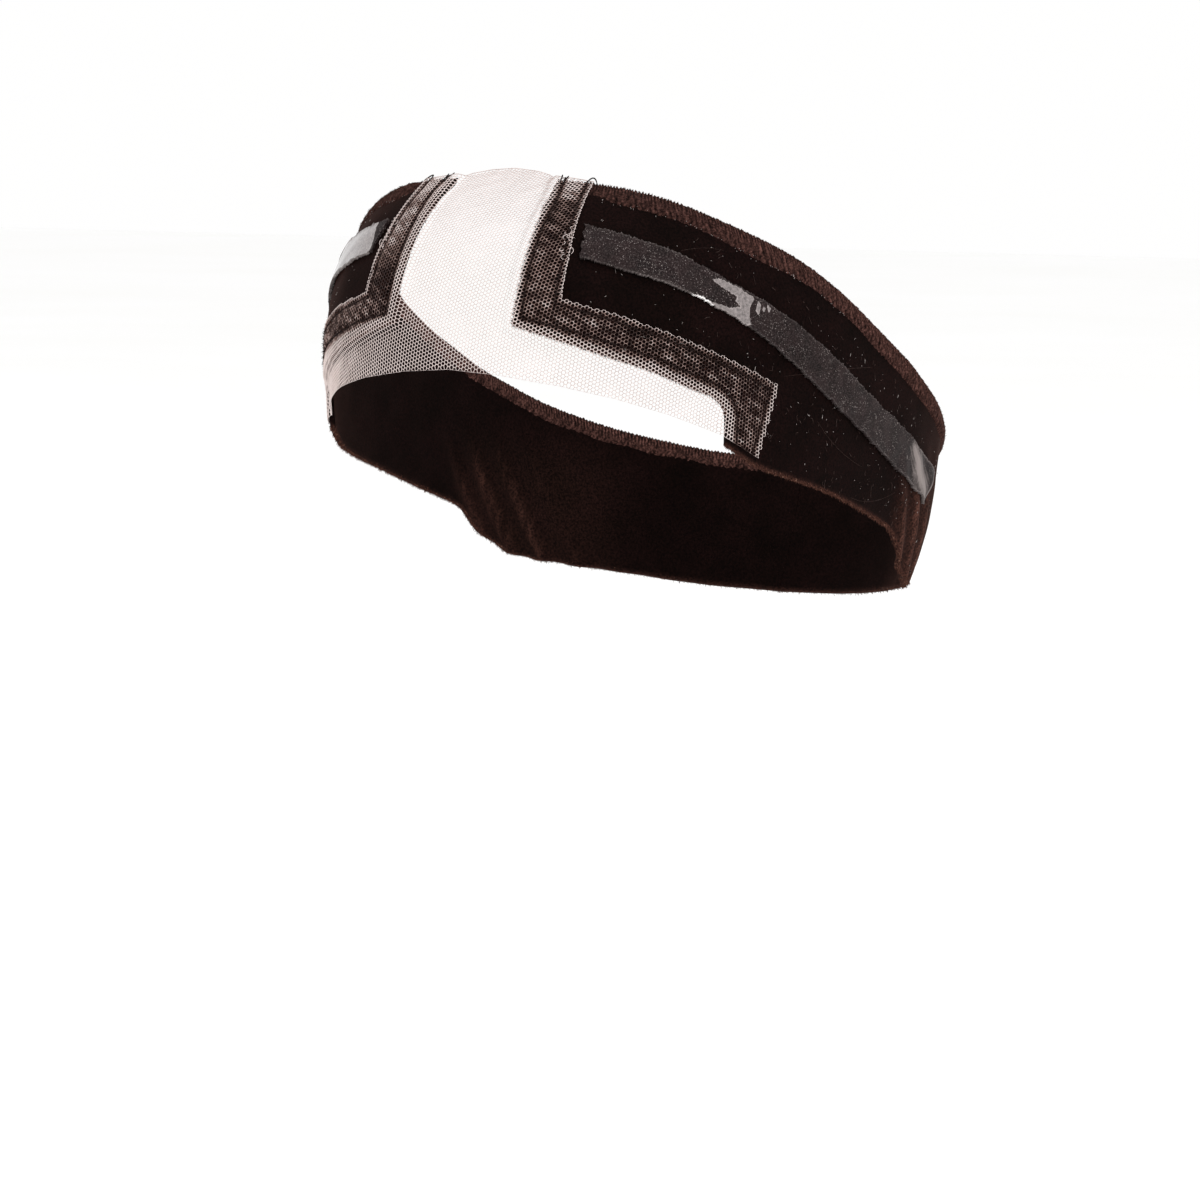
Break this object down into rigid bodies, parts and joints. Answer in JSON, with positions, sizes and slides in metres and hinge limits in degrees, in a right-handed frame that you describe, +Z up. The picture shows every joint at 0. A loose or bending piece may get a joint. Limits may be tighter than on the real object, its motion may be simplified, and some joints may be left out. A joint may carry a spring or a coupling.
{
  "type": "wig grip band",
  "caption": "Worn headband that keeps a wig from slipping: velvet wings with rolled hems and silicone grip strips, a net lace front and a plain fastening at the nape.",
  "frame": {"origin": "centre of the head opening, on the wearer's mid-plane, at the level where the worn form is widest", "axes": "+Z up the wearer's head, -Y to the wearer's front, +X to the wearer's left"},
  "size_m": [0.1532, 0.1883, 0.1232],
  "materials": {
    "velvet": "near-black brown velvet with a reddish sheen at grazing angles",
    "hem": "brown ribbed velvet pile, rolled over at the edge",
    "silicone": "translucent grey silicone, finely speckled, glossy in places",
    "lace": "pale skin-pink net of fine hexagonal mesh",
    "fastening": "matt near-black hook-and-loop tape"
  },
  "bodies": {
    "root": {"velvet_left": "velvet", "velvet_right": "velvet", "hem_left": "hem", "hem_right": "hem", "silicone_left": "silicone", "silicone_right": "silicone", "lace_front": "lace", "closure": "fastening"}
  },
  "joints": []
}
